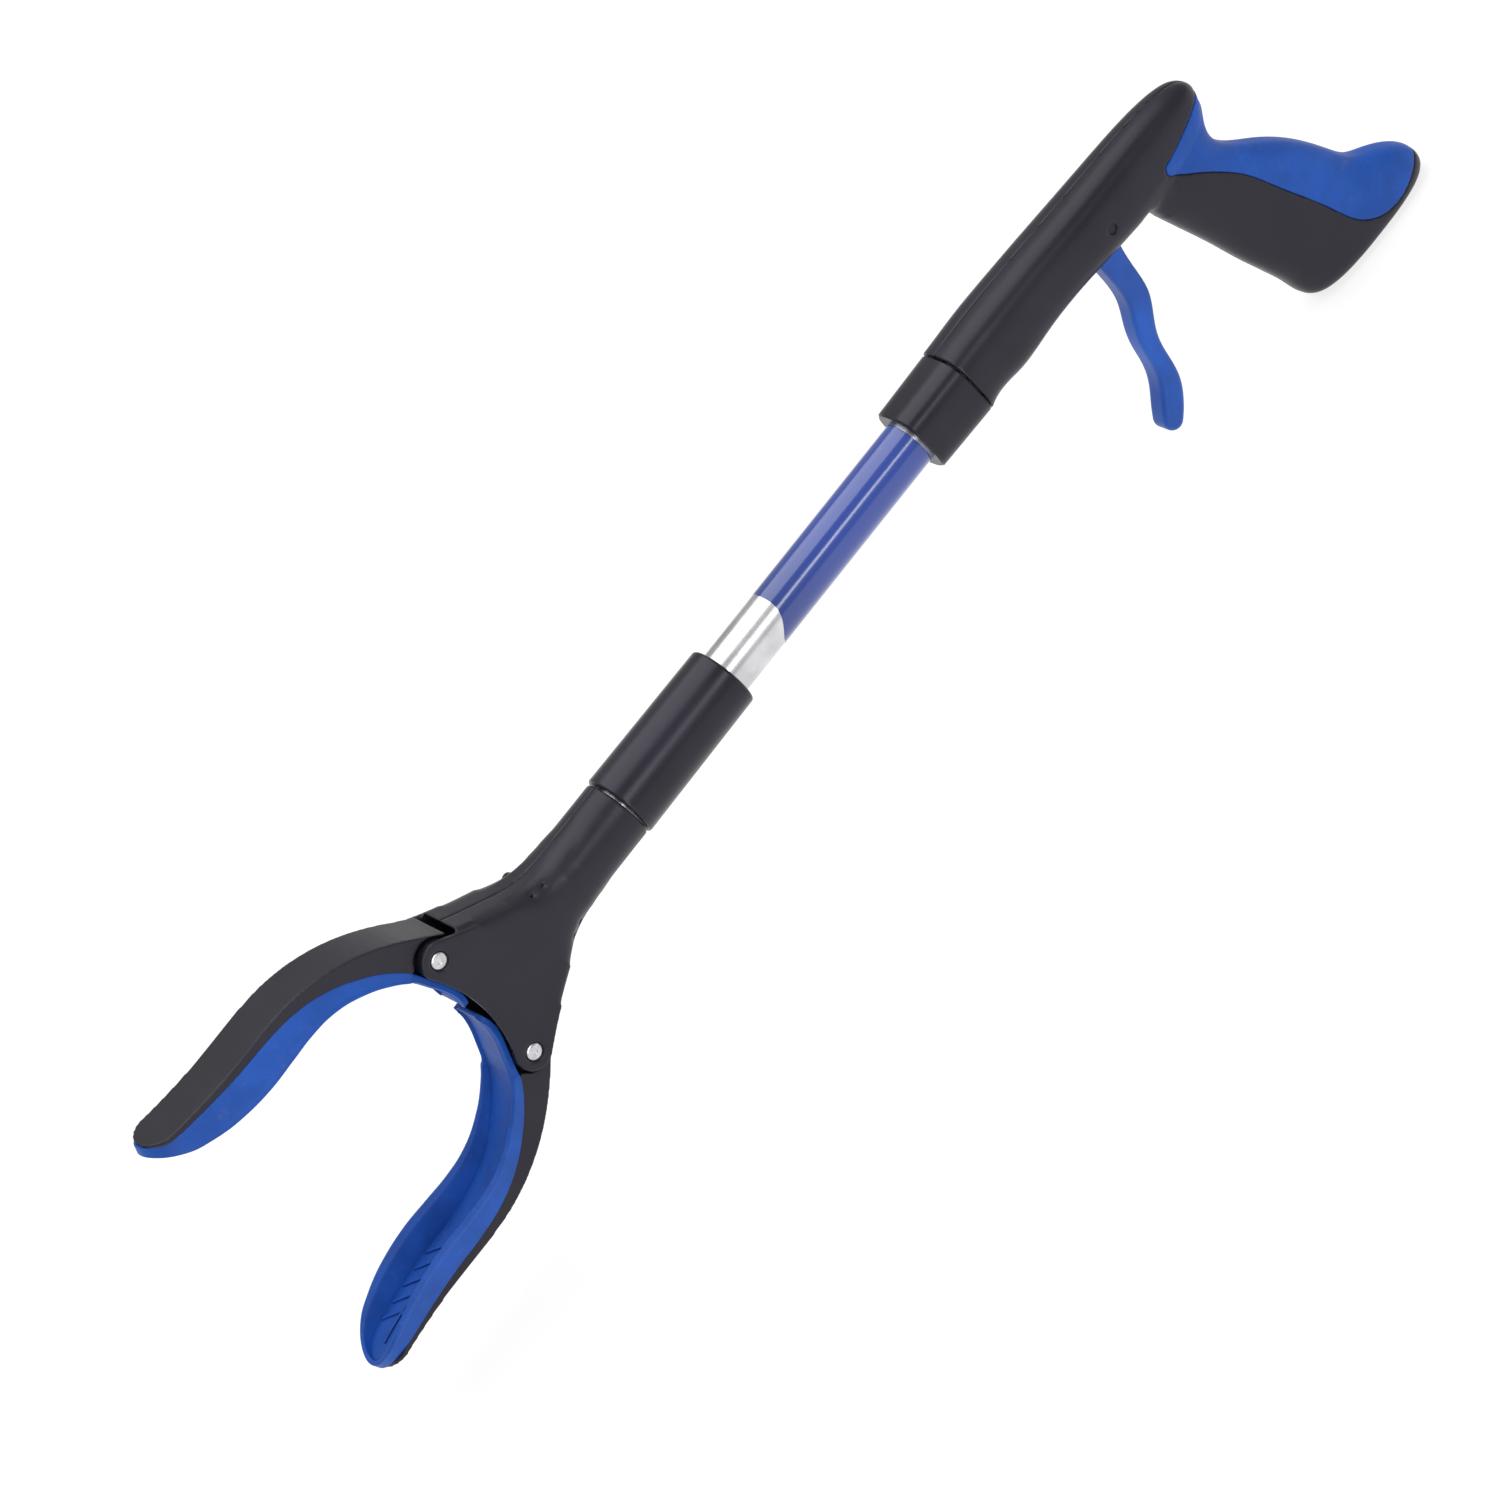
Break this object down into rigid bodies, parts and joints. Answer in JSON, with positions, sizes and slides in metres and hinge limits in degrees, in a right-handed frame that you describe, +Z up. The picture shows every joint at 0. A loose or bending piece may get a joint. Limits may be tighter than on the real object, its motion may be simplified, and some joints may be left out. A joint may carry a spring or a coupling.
{
  "type": "reacher grabber",
  "caption": "Long-reach pick-up tool: a pistol handle whose trigger closes a pair of cupped, rubber-lined jaws at the far end of an aluminium tube.",
  "frame": {"origin": "on the shaft's axis, above the middle of the grip's root, where a hand holds it", "axes": "+X runs along the shaft from the jaws towards the handle's rear end, +Y points to the tool's right-hand side seen from the user, +Z is up and the grip hangs towards -Z"},
  "size_m": [0.7557, 0.0391, 0.2155],
  "materials": {
    "handle_plastic": "moulded black, fine matt grain",
    "head_plastic": "moulded black, satin",
    "collar_plastic": "moulded black, satin",
    "jaw_plastic": "moulded black, fine matt grain",
    "trigger_plastic": "moulded blue, satin",
    "grip_rubber": "soft-touch blue",
    "pad_rubber": "soft blue, slightly satin",
    "tube_aluminium": "bright drawn",
    "label_film": "glossy blue film, plain",
    "inner_plastic": "natural, unpainted",
    "rod_steel": "zinc plated",
    "pin_steel": "bright plated",
    "screw_steel": "blackened"
  },
  "bodies": {
    "frame": {"handle_shell_left": "handle_plastic", "handle_shell_right": "handle_plastic", "grip_pad": "grip_rubber", "handle_screws": "screw_steel", "handle_collar": "collar_plastic", "trigger_pivot_pin": "pin_steel", "shaft_tube": "tube_aluminium", "tube_label": "label_film", "head_sleeve": "collar_plastic", "rod_guide_handle": "inner_plastic", "rod_guide_head": "inner_plastic", "tube_pins_handle": "pin_steel", "tube_pins_head": "pin_steel", "head_shell_left": "head_plastic", "head_shell_right": "head_plastic", "head_screws": "screw_steel", "upper_jaw_rivet": "pin_steel", "lower_jaw_rivet": "pin_steel", "return_spring": "pin_steel"},
    "trigger": {"trigger": "trigger_plastic", "trigger_bush": "inner_plastic"},
    "rod": {"push_rod": "rod_steel", "rod_yoke": "inner_plastic", "yoke_pin": "pin_steel", "yoke_cross_pin": "pin_steel", "crosshead": "inner_plastic", "crosshead_cross_pin": "pin_steel", "spring_washer": "pin_steel"},
    "upper_jaw": {"upper_jaw_shell": "jaw_plastic", "upper_jaw_bush": "inner_plastic", "upper_jaw_cam_pin": "pin_steel", "upper_jaw_pad": "pad_rubber"},
    "lower_jaw": {"lower_jaw_shell": "jaw_plastic", "lower_jaw_bush": "inner_plastic", "lower_jaw_cam_pin": "pin_steel", "lower_jaw_pad": "pad_rubber"}
  },
  "joints": [
    {"name": "trigger_pull", "type": "hinge", "parent": "frame", "child": "trigger", "pos_m": [-0.042, 0, -0.004], "axis": [0, -1, 0], "range_deg": [0, 28], "stiffness_Nm_per_rad": 0.2, "springref_deg": -40.11},
    {"name": "rod_slide", "type": "slide", "parent": "frame", "child": "rod", "axis": [-1, 0, 0], "range_m": [0, 0.00636], "deforming": ["return_spring"]},
    {"name": "upper_jaw_close", "type": "hinge", "parent": "frame", "child": "upper_jaw", "pos_m": [-0.506, 0, 0.0355], "axis": [0, -1, 0], "range_deg": [0, 29.5]},
    {"name": "lower_jaw_close", "type": "hinge", "parent": "frame", "child": "lower_jaw", "pos_m": [-0.506, 0, -0.0355], "axis": [0, 1, 0], "range_deg": [0, 29.5]}
  ],
  "couplings": [
    {"joint": "rod_slide", "follows": "trigger_pull", "m_per_rad": 0.013},
    {"joint": "upper_jaw_close", "follows": "trigger_pull", "ratio": 1.0536},
    {"joint": "lower_jaw_close", "follows": "trigger_pull", "ratio": 1.0536}
  ]
}
